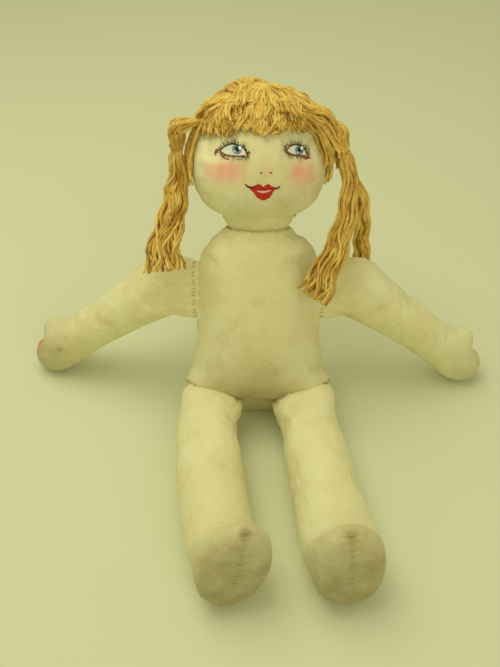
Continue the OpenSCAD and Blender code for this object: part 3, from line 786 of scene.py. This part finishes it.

# ---------------------------------------------------------------- arms and legs
# the sole's seam is followed in rows of this height
sole_row = 5 * mm
for side, sign in sides.items():
    pivot = place(f"{side}_arm_raise")
    seam_mid = place(f"{side}_shoulder_swing")
    outward = (pivot - seam_mid).normalized()
    along = far_direction(f"{side}_arm_stuffing", pivot)
    face = Vector(joints[f"{side}_arm_raise"]["axis"]) * sign
    front = face if face.y < 0 else face * -1
    upper = along.cross(face).normalized()
    if upper.z < 0:
        upper = upper * -1
    side_seam = [Vector(p) for p in shared_edge(f"{side}_arm_front_cover", f"{side}_arm_back_cover", along)]
    top_seam = [p for p in side_seam if (p - pivot) @ upper > 0]
    low_seam = [p for p in side_seam if (p - pivot) @ upper < 0]
    tip = pivot + along * ((node_points(f"{side}_arm_stuffing") - np.array(pivot)) @ np.array(along)).max()

    def on_hand(back, rise, out=0):
        """A place on the hand, in mm: back from its tip, up from the arm's middle, and out from it."""
        return tip - along * (back * mm) + upper * (rise * mm) + front * (out * mm)

    arm = make_member(
        f"{side}_arm_muslin",
        f"{side}_arm_stuffing",
        [f"{side}_arm_front_cover", f"{side}_arm_back_cover", f"{side}_shoulder_seam"],
        (pivot, along, upper),
        [shoulder_seams[side], top_seam, low_seam],
        [
            (gathers, shoulder_seams[side], 2.0, 15, 9, 4),
            (groove, top_seam, 0.8, 1.8),
            (groove, low_seam, 0.8, 1.8),
            # the notch between the thumb and the rest of the hand, and the thumb
            (groove, segment(on_hand(21, 20), face, 13 * mm), 5, 5),
            (groove, segment(on_hand(36, 27), face, 6 * mm), -2.5, 8),
        ],
        wedge=(f"{side}_shoulder_seam", outward * (-7 * mm)),
    )
    dirt = [(tip, 50, 0.62 if side == "left" else 0.35)]
    if side == "left":
        # a small brown spot on the wrist, and a red mark beside the notch
        dirt.append((on_hand(40, -3, 19), 3, 0.75))
        away, _ = near_line(points_of(arm), segment(on_hand(16, 16, 9), along, 5 * mm))
        note(arm, "mark", 0.95 * np.exp(-((away / (5 * mm)) ** 2)))
    soil_and_shade_at(arm, dirt)
    stitches(
        f"{side}_shoulder_stitches",
        [p - outward * (1 * mm) + front * (6 * mm) for p in shoulder_seams[side]], f"{side}_shoulder",
        surface_of(arm), length=4.4, lean=65, thick=0.3, material=tan_cotton,
    )
    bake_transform(arm)

    pivot = place(f"{side}_leg_spread")
    seam_mid = hip_places[side]
    outward = (pivot - seam_mid).normalized()
    along = far_direction(f"{side}_leg_stuffing", pivot)
    along.z = 0
    along.normalize()
    sole_line = node_points(f"{side}_sole_seam")
    sole_rows = np.round(sole_line[:, 2] / sole_row)
    sole_path = [Vector(sole_line[sole_rows == r].mean(0)) for r in sorted(set(sole_rows), reverse=True)]
    # the thigh is full right up to the seam
    thigh_top = segment(seam_mid + outward * (13 * mm) + Vector((0, 0, 14 * mm)), hip_lines[side], 18 * mm)
    leg = make_member(
        f"{side}_leg_muslin", f"{side}_leg_stuffing", [f"{side}_leg_cover", f"{side}_hip_seam"],
        (pivot, along, Vector((0, 0, 1))), [hip_seams[side], sole_path],
        [
            (gathers, hip_seams[side], 2.2, 12, 8, 6), (groove, thigh_top, -7, 16),
            (gathers, sole_path, 1.2, 6, 7, 9),
            (gathers, sole_path[: len(sole_path) // 3], 1.5, 7, 4.5, 12), (groove, sole_path, 1.1, 2.0),
        ],
        wedge=(f"{side}_hip_seam", outward * (-6 * mm)), shift=raise_hips,
    )
    cover = node_points(f"{side}_leg_cover")
    toe = Vector(cover[cover[:, 2].argmax()])
    foot_end = ((cover - np.array(pivot)) @ np.array(along)).max()

    def sole_soil_and_shade(p):
        """Darker towards the end of the foot: partly dirt, partly painted shade on the sole, which faces away
        from the overhead light.
        """
        before_end = foot_end - (p - np.array(pivot)) @ np.array(along)
        return 0.74 * np.clip(1 - before_end / (45 * mm), 0, 1)

    soil_and_shade_at(leg, [(toe, 30, 0.3), (sole_path[1], 9, 0.8)], sole_soil_and_shade)
    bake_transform(leg)
    sole = stitches(f"{side}_sole_stitches", sole_path, f"{side}_leg", surface_of(leg), lean=70, length=3.6)
    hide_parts(f"{side}_sole_seam")

torso_surface = surface_of(torso)
for side in sides:
    # a few stitches hold the outer corner of each hip
    corner = max(hip_seams[side], key=lambda p: abs(p.x))
    corner_path = [corner + torso_up * (h * mm) + torso_front * (4 * mm) for h in (3, 11, 19)]
    stitches(
        f"{side}_hip_stitches", corner_path, "torso", torso_surface, lean=60, thick=0.4,
        material=tan_cotton,
    )
neck = stitches("neck_stitches", neck_circle, "neck", torso_surface, 3.0, 4.6, lean=60, thick=0.36)
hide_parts("neck_seam")


# ---------------------------------------------------------------- painted face
# paint goes this far in from its surface, in mm
paint_depth = 0.9


def paint_patch(outline, lift, step=1.0):
    """A thin closed solid inside an outline on the face, given as points (x, up) in mm."""
    flat = bmesh.new()
    loop = [flat.verts.new((x, y, 0)) for x, y in outline]
    edges = [flat.edges.new(pair) for pair in zip(loop, loop[1:] + loop[:1])]
    bmesh.ops.triangle_fill(flat, edges=edges, use_beauty=True)
    for _ in range(4):
        long_edges = [e for e in flat.edges if e.calc_length() > step * 1.6]
        if not long_edges:
            break
        bmesh.ops.subdivide_edges(flat, edges=long_edges, cuts=1)
        bmesh.ops.triangulate(flat, faces=flat.faces)
    bmesh.ops.recalc_face_normals(flat, faces=flat.faces)
    flat.verts.ensure_lookup_table()
    spots = [(v.co.x, v.co.y) for v in flat.verts]
    faces = [[v.index for v in f.verts] for f in flat.faces]
    if flat.faces[0].normal.z < 0:
        faces = [f[::-1] for f in faces]
    rim = [(e.verts[0].index, e.verts[1].index) for e in flat.edges if e.is_boundary]
    flat.free()
    count = len(spots)
    points = [on_face(x, y, height) for height in (lift, lift - paint_depth) for x, y in spots]
    directed = {pair for f in faces for pair in zip(f, f[1:] + f[:1])}
    all_faces = [tuple(f) for f in faces] + [tuple(i + count for i in f[::-1]) for f in faces]
    for a, b in rim:
        a, b = (a, b) if (a, b) in directed else (b, a)
        all_faces.append((b, a, a + count, b + count))
    return points, all_faces


def painted(name, outlines, material, lift=0.35):
    """Paint inside one outline, or inside each outline of a list."""
    if isinstance(outlines[0], tuple):
        outlines = [outlines]
    points, faces = [], []
    for outline in outlines:
        patch_points, patch_faces = paint_patch(outline, lift)
        faces += [tuple(i + len(points) for i in face) for face in patch_faces]
        points += patch_points
    obj = cloth_object(name, points, faces)
    note(obj, "rest", points_of(obj), "FLOAT_VECTOR")
    finish_surface(obj, material)
    obj.data.shade_flat()
    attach(obj, "head")
    return obj


def round_outline(x, up, wide, tall, count=28):
    """An ellipse."""
    turn = np.linspace(0, full_turn, count, endpoint=False)
    return [(x + wide * math.cos(a), up + tall * math.sin(a)) for a in turn]


def curved_outline(corners, count=6):
    """A smooth closed outline through corner points."""
    pts = np.array(corners, float)
    neighbours = zip(np.roll(pts, 1, 0), pts, np.roll(pts, -1, 0), np.roll(pts, -2, 0))
    return [tuple(curve_at(*four, k / count)) for four in neighbours for k in range(count)]


def stroke(way, wide_start, wide_mid, wide_end, count=10):
    """The outline of one brush stroke along a path of (x, up) points."""
    line = smooth_path([(x, y, 0) for x, y in way], 1.0)[:, :2]
    if len(line) > count:
        line = line[np.linspace(0, len(line) - 1, count).round().astype(int)]
    run = units(np.gradient(line, axis=0))
    side_way = np.stack([-run[:, 1], run[:, 0]], 1)
    share = np.linspace(0, 1, len(line))
    edge = side_way * np.interp(share, [0, 0.45, 1], [wide_start, wide_mid, wide_end])[:, None] / 2
    return [tuple(p) for p in (*(line + edge), *(line - edge)[::-1])]


def lash_row(name, lid, material, count, length, fan, wide):
    """Short dabs of the brush along a lid line, fanned out. Some stand off the line."""
    dabs = []
    for k in range(count):
        at = (k + 0.5 * chance_of_lash.random()) / count * (len(lid) - 1)
        i = min(int(at), len(lid) - 2)
        spot = Vector(lid[i]).lerp(Vector(lid[i + 1]), at - i)
        turn = math.radians(fan[0] + (fan[1] - fan[0]) * k / (count - 1) + chance_of_lash.uniform(-13, 13))
        way = Vector((math.cos(turn), math.sin(turn)))
        near = chance_of_lash.choice((0.6, 0.8, 1.8))
        far = near + length * chance_of_lash.uniform(0.55, 1.05)
        dabs.append(stroke([spot + way * near, spot + way * far], wide * 0.8, wide, 0.35, 4))
    painted(name, dabs, material, 0.4)


def painted_eye(side, outer, inner, top, low, iris, iris_size, glint):
    """One painted eye: white, iris, pupil, glints, lid lines and a pink inner corner. Corners are (x, up) in
    mm. Gives the lid lines, for the lashes.
    """
    toward = 1 if inner[0] > outer[0] else -1
    almond = curved_outline([outer, top[0], top[1], top[2], inner, low[1], low[0]])
    painted(f"{side}_eye_white", almond, eye_white, 0.3)
    painted(f"{side}_iris", round_outline(*iris, iris_size, iris_size * 1.02), iris_blue, 0.42)
    pupil = round_outline(iris[0] + 0.2, iris[1] + 0.2, iris_size * 0.5, iris_size * 0.52, 20)
    painted(f"{side}_pupil", pupil, pupil_black, 0.5)
    glints = [
        round_outline(*glint, 1.35, 1.6, 12), round_outline(iris[0] - 1.7, iris[1] - 2.0, 0.7, 0.8, 10),
    ]
    painted(f"{side}_glints", glints, glint_white, 0.62)
    upper_lid = [outer, *top, inner]
    lower_lid = [outer, *low, inner]
    painted(f"{side}_upper_lid", stroke(upper_lid, 0.9, 1.4, 1.3, 22), lid_brown, 0.55)
    painted(f"{side}_lower_lid", stroke(lower_lid, 1.1, 1.3, 1.5, 20), lid_orange, 0.5)
    corner = (inner[0] - toward * 1.6, inner[1] + 0.9)
    painted(f"{side}_eye_corner", round_outline(*corner, 1.3, 1.1, 10), corner_pink, 0.53)
    return upper_lid, lower_lid


chance_of_lash = random.Random(5)
left_upper, left_lower = painted_eye(
    "left", (-35.0, 76.2), (-9.8, 73.8), [(-30.5, 80.6), (-22.5, 83.2), (-13.8, 80.4)],
    [(-28.6, 73.4), (-18.6, 73.2)], (-19.4, 79.0), 4.3, (-16.8, 80.4),
)
right_upper, right_lower = painted_eye(
    "right", (24.0, 77.4), (44.0, 71.6), [(27.8, 80.8), (34.0, 82.0), (40.6, 78.2)],
    [(28.4, 74.2), (36.2, 72.4)], (36.2, 77.2), 4.1, (38.4, 78.6),
)
for name, lid, count, length, fan, wide in (
    ("left_upper_lashes", left_upper, 26, 2.7, (165, 25), 0.85),
    ("left_lower_lashes", left_lower, 22, 2.1, (195, 325), 0.8),
    ("right_upper_lashes", right_upper, 24, 2.7, (150, 10), 0.85),
    ("right_lower_lashes", right_lower, 20, 2.1, (215, 330), 0.8),
):
    lash_row(name, lid, lash_brown, count, length, fan, wide)
# a red-brown smudge below each eye's outer corner
painted(
    "lash_smudges",
    [
        stroke([(-36.2, 78.0), (-38.6, 75.6), (-39.4, 72.6)], 1.2, 2.4, 0.9, 6),
        stroke([(-34.6, 73.8), (-31.0, 70.8), (-26.5, 69.8)], 0.6, 1.3, 0.5, 8),
        stroke([(39.5, 69.8), (43.2, 69.2), (46.6, 70.6)], 0.6, 1.2, 0.5, 6),
    ],
    lash_red, 0.38,
)

mouth = curved_outline(
    [
        (-8.8, 46.2), (-4.6, 47.6), (-1.2, 49.2), (1.5, 48.6), (3.8, 47.0), (6.2, 48.5), (8.6, 49.1),
        (11.6, 47.0), (14.9, 45.4), (12.6, 42.0), (9.8, 37.4), (4.4, 34.6), (-1.0, 36.6), (-4.0, 40.6),
        (-6.8, 43.6),
    ],
    4,
)
painted("lips", mouth, lip_red, 0.4)
for name, way, widths, count, material, lift in (
    (
        "lips_left_corner", [(-12.2, 49.3), (-10.6, 47.4), (-7.4, 46.3), (-4.2, 46.4)], (0.9, 1.8, 0.5), 9,
        lip_dark, 0.48,
    ),
    (
        "lips_right_corner", [(18.6, 47.0), (17.0, 45.6), (13.8, 45.0), (10.8, 45.6)], (0.8, 1.6, 0.5), 9,
        lip_dark, 0.48,
    ),
    (
        "lips_parting", [(-6, 45.2), (-1, 44.6), (4, 44.9), (9, 44.8), (14, 45.2)], (0.3, 0.55, 0.3), 12,
        lip_dark, 0.5,
    ),
    ("lips_shine", [(-1.6, 43.2), (4, 42.2), (10.6, 43.6)], (1.0, 2.3, 0.8), 10, lip_pink, 0.55),
):
    painted(name, stroke(way, *widths, count), material, lift)
for name, x, up in (("left", 1.7, 59.2), ("right", 10.4, 59.2)):
    painted(f"{name}_nostril", round_outline(x, up, 1.25, 0.85, 12), nostril_mauve, 0.4)


# ---------------------------------------------------------------- hair
wool_radius = 1.3 * mm
# points along a strand are this far apart, and a lock bends to and fro over this length
hair_step, lock_wave = 5 * mm, 19 * mm
chance = random.Random(11)


def on_head(x, up, out):
    """A place beside the head, in parts of its half-width, height and front depth."""
    return neck_pivot + across * (x * head_half) + head_up * (up * head_height) + head_front * (
        out * head_front_depth
    )


def laid(turns, rises, lifts, jitter=2.0):
    """A strand laid over the skull through (turn, rise, lift) points, a little out of place."""
    slip = chance.uniform(-jitter, jitter)
    keys = np.linspace(0, 1, len(turns))
    way = []
    for share in np.linspace(0, 1, 13):
        turn, rise, lift = (np.interp(share, keys, values) for values in (turns, rises, lifts))
        way.append(on_skull(turn + slip, rise, lift))
    return way


def lock(way, count, width, splay=1.5, wave=1.0):
    """Strands that lie side by side along one path, bend together, and part a little at the ends."""
    line = smooth_path(way, hair_step)
    run = units(np.gradient(line, axis=0))
    side_way = units(np.cross(run, line - np.array(skull_mid)))
    deep_way = np.cross(side_way, run)
    share = np.linspace(0, 1, len(line))
    bends = share * len(line) * hair_step / lock_wave
    bend = wave * mm * np.sin(bends * full_turn + chance.uniform(0, full_turn))
    ways = []
    for k in range(count):
        at = (k - (count - 1) / 2) * width * mm * (1 + (splay - 1) * share**2)
        lift = (0.5 * (k % 2) + chance.uniform(-0.3, 0.3)) * wool_radius
        strand = line + side_way * (at + bend)[:, None] + deep_way * lift
        ways.append(strand[: max(4, round(len(line) * chance.uniform(0.88, 1)))])
    return ways


hair_look = {"crinkle": 0.4, "wave": 17, "ply": 0.1, "sides": 7}

# fringe: layers of cut yarn over the forehead, ragged at the ends
fringe_ways = []
fringe_half = 86
for count, start, end, low, high in (
    (32, 70, 27, 1.6, 3.4), (29, 74, 31, 4.0, 6.0), (25, 79, 38, 6.6, 9.0), (16, 84, 48, 9.2, 12),
):
    for k in range(count):
        turn = fringe_half * (2 * (k + chance.uniform(-0.5, 0.5)) / (count - 1) - 1)
        finish = end - 5 * (abs(turn) / fringe_half) ** 2 + chance.uniform(-4.0, 5.0)
        slant = chance.gauss(-2, 7)
        stand_off = chance.uniform(2, 5) if chance.random() < 0.16 else chance.uniform(-0.4, 1.2)
        middle = laid(
            [turn * 0.4 - slant, turn * 0.85 - slant * 0.5, turn, turn + slant],
            [start, (start + end) / 2 + 10, end + 10, finish], [low + 2, high + 1.5, high, low + stand_off],
        )
        fringe_ways += lock(middle, 3, 2.0, 1.4, 0.6)

# crown: yarn laid from the back of the head to the front
crown_ways = []
for k in range(26):
    turn = -66 + 132 * k / 25 + chance.uniform(-5, 5)
    height = chance.uniform(6, 10)
    middle = laid([180 + turn * 0.9, 180 + turn, 180 + turn], [44, 62, 84], [3, 6, height], 0)
    middle += laid(
        [turn, turn, turn * 1.1], [82, 66, chance.uniform(44, 58)], [height, height * 0.95, 6.5], 0,
    )
    crown_ways += lock(middle, 3, 2.1, 1.3, 0.8)
# over it, a tuft of loops that stand up and fall over to all sides, most of them to the left
for k in range(30):
    height = chance.uniform(9, 16) if k % 3 else chance.uniform(13, 17)
    spin = chance.uniform(-180, 180)
    top = on_skull(spin, chance.uniform(70, 88), height) - across * (chance.uniform(2, 13) * mm)
    start = on_skull(spin + chance.uniform(120, 240), chance.uniform(56, 80), 5)
    finish = on_skull(chance.gauss(-24, 46), chance.uniform(42, 66), chance.uniform(8, 12))
    middle = [
        start, start.lerp(top, 0.5) + head_up * (4 * mm), top, top.lerp(finish, 0.5) + head_up * (3.5 * mm),
        finish,
    ]
    crown_ways += lock(middle, 4, 2.0, 1.4, 1.2)
# and cut ends that stand out, mostly on the right
for k in range(20):
    turn = chance.uniform(15, 92) if k % 4 else chance.uniform(-85, -20)
    rise = chance.uniform(44, 76)
    start = on_skull(turn * 0.6, rise + 14, 6)
    bend = on_skull(turn, rise + 2, chance.uniform(11, 14))
    finish = on_skull(turn + chance.uniform(-8, 14), rise - chance.uniform(8, 18), chance.uniform(9, 18))
    crown_ways += lock([start, bend, finish], 4, 1.8, 2.0, 0.8)
# fluffy ends fall over the root of the right pigtails
for k in range(24):
    start = on_skull(chance.uniform(20, 62), chance.uniform(46, 74), 7)
    finish = on_head(chance.uniform(0.98, 1.24), chance.uniform(0.36, 0.66), chance.uniform(0.1, 0.55))
    bend = start.lerp(finish, 0.55) + head_up * (chance.uniform(5, 9) * mm) + across * (7 * mm)
    crown_ways += lock([start, bend, finish, finish - head_up * (5 * mm)], 4, 1.8, 2.2, 0.8)

# side and back hair: laid down beside the cheeks and the back of the head, then free behind the neck
back_ways = []
for count, lift in ((38, 1.8), (32, 4.6)):
    for k in range(count):
        turn = 80 + 207 * k / (count - 1) + chance.uniform(-1, 1)
        off_middle = abs(turn - 180)
        low = np.interp(off_middle, [52, 84, 107], [-24, -16, -22])
        middle = laid([turn, turn, turn], [70, 10, low], [lift + 1.5, lift, lift], 1.0)
        if off_middle < 64:
            last = middle[-1]
            inward = across * (last.x * -0.26)
            drop = chance.uniform(34, 46) * mm
            middle.append(last + inward * 0.5 - head_up * (drop * 0.5) - head_front * (1 * mm))
            middle.append(last + inward - head_up * drop)
        back_ways += lock(middle, 2, 2.3, 1.2, 0.8)
for name, ways, node, seed in (
    ("fringe", fringe_ways, "fringe_yarn", 21), ("crown_loops", crown_ways, "crown_yarn", 22),
    ("back_hair", back_ways, "back_hair_yarn", 23),
):
    hair = yarn(name, ways, wool_radius, straw_wool, seed=seed, **hair_look)
    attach(hair, "head")
    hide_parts(node)


def near_shoulder(sign, x, up, out):
    """A place near a shoulder, in mm."""
    return shoulder_mid + across * (
        sign * (shoulder_half + x * mm)
    ) + torso_up * (up * mm) + torso_front * (out * mm)


# each bunch: the side it is on, its path beside the head in parts of the head's size, the rest of its path
# near the shoulder in mm, its radius at the tie and at the ends in mm, its strands, and the CAD lock and tie
pigtails = {
    "left_pigtail": (
        -1, [(1.18, 0.61, 0.36), (1.21, 0.46, 0.29), (1.235, 0.19, 0.27), (1.27, -0.03, 0.42)],
        [(23, 45, 34), (21, 20, 42)], (8.0, 18.4), 72, ("left_pigtail_yarn", "left_pigtail_tie"),
    ),
    "right_front_pigtail": (
        1, [(1.17, 0.59, 0.34), (1.27, 0.32, 0.3), (1.3, 0.05, 0.43)],
        [(12, 43, 34), (-1, 18, 42), (-15, -4, 46)], (7.2, 13.6), 58,
        ("right_front_lock", "right_front_tie"),
    ),
    "right_rear_pigtail": (
        1, [(1.33, 0.37, -0.1), (1.52, 0.1, -0.2), (1.62, -0.14, -0.36)], [(49, 10, -54), (49, -10, -57)],
        (6.0, 9.2), 30, ("right_rear_lock", "right_rear_tie"),
    ),
}
# how far down a bunch its tie is, as a part of its length
tie_share = 0.11
# the tie's turns, as a part of the bunch's radius, and how far apart they lie
tie_fit, tie_pitch = 0.74, 0.9 * mm


def pigtail_path(sign, beside_head, by_shoulder):
    """The points that a bunch follows."""
    path = [on_head(sign * x, up, out) for x, up, out in beside_head]
    return path + [near_shoulder(sign, *place_by) for place_by in by_shoulder]


# strands set round by this angle fill a bunch evenly
golden_angle = 2.39996


def pigtail_ways(path, radius_start, radius_end, count):
    """Strands side by side in a bunch that is tight at its tie and spreads towards its cut ends."""
    line = smooth_path(path, hair_step)
    run = units(np.gradient(line, axis=0))
    share = np.linspace(0, 1, len(line))
    wide_way = units(np.array(across) - run * (run @ np.array(across))[:, None])
    deep_way = np.cross(run, wide_way)
    # the bunch bends one way and then the other, and its strands wave together
    sway = (
        2.2 * np.sin(share * full_turn) + 1.1 * np.sin(share * 9.5 * math.pi)
    ) * np.clip(share / 0.15, 0, 1)
    line = line + wide_way * (sway * mm)[:, None]
    ways = []
    for k in range(count):
        spread = math.sqrt((k + 0.5) / count)
        turn = k * golden_angle + chance.uniform(-0.2, 0.2)
        length = 1 - 0.2 * chance.random() ** 2
        radius = (radius_start + (radius_end - radius_start) * share**1.7) * mm * 0.94
        radius = radius * (1 + 0.2 * np.clip((share - 0.8) / 0.2, 0, 1))
        tied = 1 - 0.45 * np.exp(-(((share - tie_share) / 0.05) ** 2))
        wander = 0.2 * np.sin(share * chance.uniform(5, 11) + chance.uniform(0, 6))
        wide = np.cos(turn + wander * 3) * spread * radius * tied * (1 + 0.25 * share)
        deep = np.sin(turn + wander * 3) * spread * radius * tied * (1 - 0.35 * share)
        way = line + wide_way * wide[:, None] + deep_way * deep[:, None]
        ways.append([Vector(p) for p in way[: max(4, int(len(way) * length))]])
    return ways


for name, (sign, beside_head, by_shoulder, (start, end), count, (lock_node, tie_node)) in pigtails.items():
    path = pigtail_path(sign, beside_head, by_shoulder)
    ways = pigtail_ways(path, start, end, count)
    bunch = yarn(name, ways, wool_radius, straw_wool, seed=31 + count, **hair_look)
    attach(bunch, name)
    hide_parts(lock_node)
    line = smooth_path(path, 2 * mm)
    at = int(len(line) * tie_share)
    run = Vector(line[at + 1] - line[at]).normalized()
    wide = run.orthogonal().normalized()
    deep = run.cross(wide)
    reach = start * tie_fit * mm
    turns = [
        Vector(line[at]) + (
            wide * math.cos(a) + deep * math.sin(a)
        ) * reach + run * ((a / full_turn - 1.5) * tie_pitch)
        for a in np.linspace(0, full_turn * 3, 60)
    ]
    band = yarn(f"{name}_tie_wraps", [turns], 0.5 * mm, golden_cotton, seed=5, **plain_thread)
    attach(band, name)
    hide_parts(tie_node)

# strands drawn from the crown to each tie
for name, count in (("left_pigtail", 42), ("right_front_pigtail", 34), ("right_rear_pigtail", 18)):
    sign, beside_head, by_shoulder, (radius, _), *_ = pigtails[name]
    path = pigtail_path(sign, beside_head, by_shoulder)
    end_turns = (92, 120) if name == "right_rear_pigtail" else (66, 88)
    ways = []
    for k in range(count):
        start_turn = sign * chance.uniform(10, 75)
        end_turn = sign * chance.uniform(*end_turns)
        way = laid([start_turn, (start_turn + end_turn) / 2, end_turn], [76, 56, 34], [7, 8, 6], 0)
        offset = Vector([chance.uniform(-1, 1) for _ in range(3)]) * (radius * 0.55 * mm)
        way.append(path[0] + offset * 1.3 + head_up * (4 * mm))
        way.append(path[0].lerp(path[1], 0.35) + offset)
        ways.append(way)
    sweep = yarn(f"{name}_roots", ways, wool_radius, straw_wool, seed=41 + count, **hair_look)
    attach(sweep, "head")

# ---------------------------------------------------------------- studio
floor_half = 3.0
floor = cloth_object(
    "floor", [(x * floor_half, y * floor_half, 0) for x, y in ((-1, -1), (1, -1), (1, 1), (-1, 1))],
    [(0, 1, 2, 3)],
)
floor_paper, floor_tree = new_material("matt_paper")
paper_grain = add(floor_tree, "TexNoise", {"Scale": 3.0, "Detail": 3.0})
paper_tone = stops(
    add(floor_tree, "ValToRGB", {"Fac": paper_grain}), (0.3, colour("DADDB2")), (0.7, colour("E0E3BA")),
)
floor_shader = add(
    floor_tree, "BsdfPrincipled", {"Base Color": paper_tone, "Roughness": 0.95, "Specular IOR Level": 0.1},
)
add(floor_tree, "OutputMaterial", {"Surface": floor_shader})
floor.data.materials.append(floor_paper)


def soft_light(name, location, target, size, power, tint):
    """A square soft box."""
    data = bpy.data.lights.new(name, "AREA")
    data.shape = "SQUARE"
    data.size = size
    data.energy = power
    data.color = colour(tint)[:3]
    light = in_scene(name, data)
    light.location = location
    light.rotation_euler = (Vector(target) - Vector(location)).to_track_quat("-Z", "Y").to_euler()


soft_light("overhead_soft_box", (-0.35, 0.25, 1.25), (0, -0.1, 0.1), 1.0, 7.6, "FFFBEA")
soft_light("front_fill", (0.5, -1.3, 1.0), (0, 0, 0.1), 1.4, 5.0, "FFF8E0")
world = bpy.data.worlds.new("studio")
world.use_nodes = True
backdrop = world.node_tree.nodes["Background"].inputs
backdrop["Color"].default_value = colour("FBF9DC")
backdrop["Strength"].default_value = 0.48
bpy.context.scene.world = world
bpy.context.scene.view_settings.view_transform = "Standard"

# the camera looks down at the doll from in front, from a little to its left
camera_data = bpy.data.cameras.new("camera")
camera_data.lens = 43.49
camera_data.sensor_width = 36
camera = in_scene("camera", camera_data)
camera.location = (-0.008, -0.5363, 0.6574)
camera.rotation_euler = (math.radians(44.4), 0, 0)
bpy.context.scene.camera = camera
